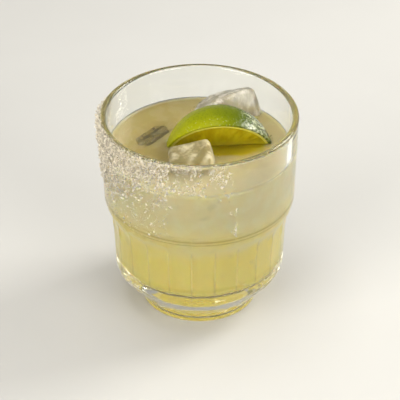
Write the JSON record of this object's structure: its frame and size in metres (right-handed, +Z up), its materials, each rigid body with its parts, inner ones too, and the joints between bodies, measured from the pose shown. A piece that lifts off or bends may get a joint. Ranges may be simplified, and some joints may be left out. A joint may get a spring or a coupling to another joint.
{
  "type": "margarita cocktail in a glass",
  "caption": "Iced lime cocktail in a stepped tumbler with a faceted lower body, a lime wedge and a salted rim; stands on its foot.",
  "frame": {"origin": "middle of the foot ring, on the plane the glass stands on", "axes": "+Z up through the middle of the mouth; -Y towards the viewer; the salt is on the -X side and the lime wedge's length runs along X"},
  "size_m": [0.0918, 0.0909, 0.098],
  "materials": {
    "clear_glass": "clear pressed glass, polished",
    "lime_drink": "cloudy pale yellow-green liquid",
    "lime_rind": "wet green lime skin with fine pores",
    "lime_pith": "pale yellow-green pith",
    "lime_flesh": "wet golden-green lime flesh",
    "ice": "clear ice, frosted in places, wet",
    "salt": "coarse white salt grains"
  },
  "bodies": {
    "root": {"glass": "clear_glass", "drink": "lime_drink", "lime_rind": "lime_rind", "lime_pith": "lime_pith", "lime_flesh": "lime_flesh", "ice_back": "ice", "ice_front": "ice", "ice_left": "ice", "salt_crust": "salt"}
  },
  "joints": []
}
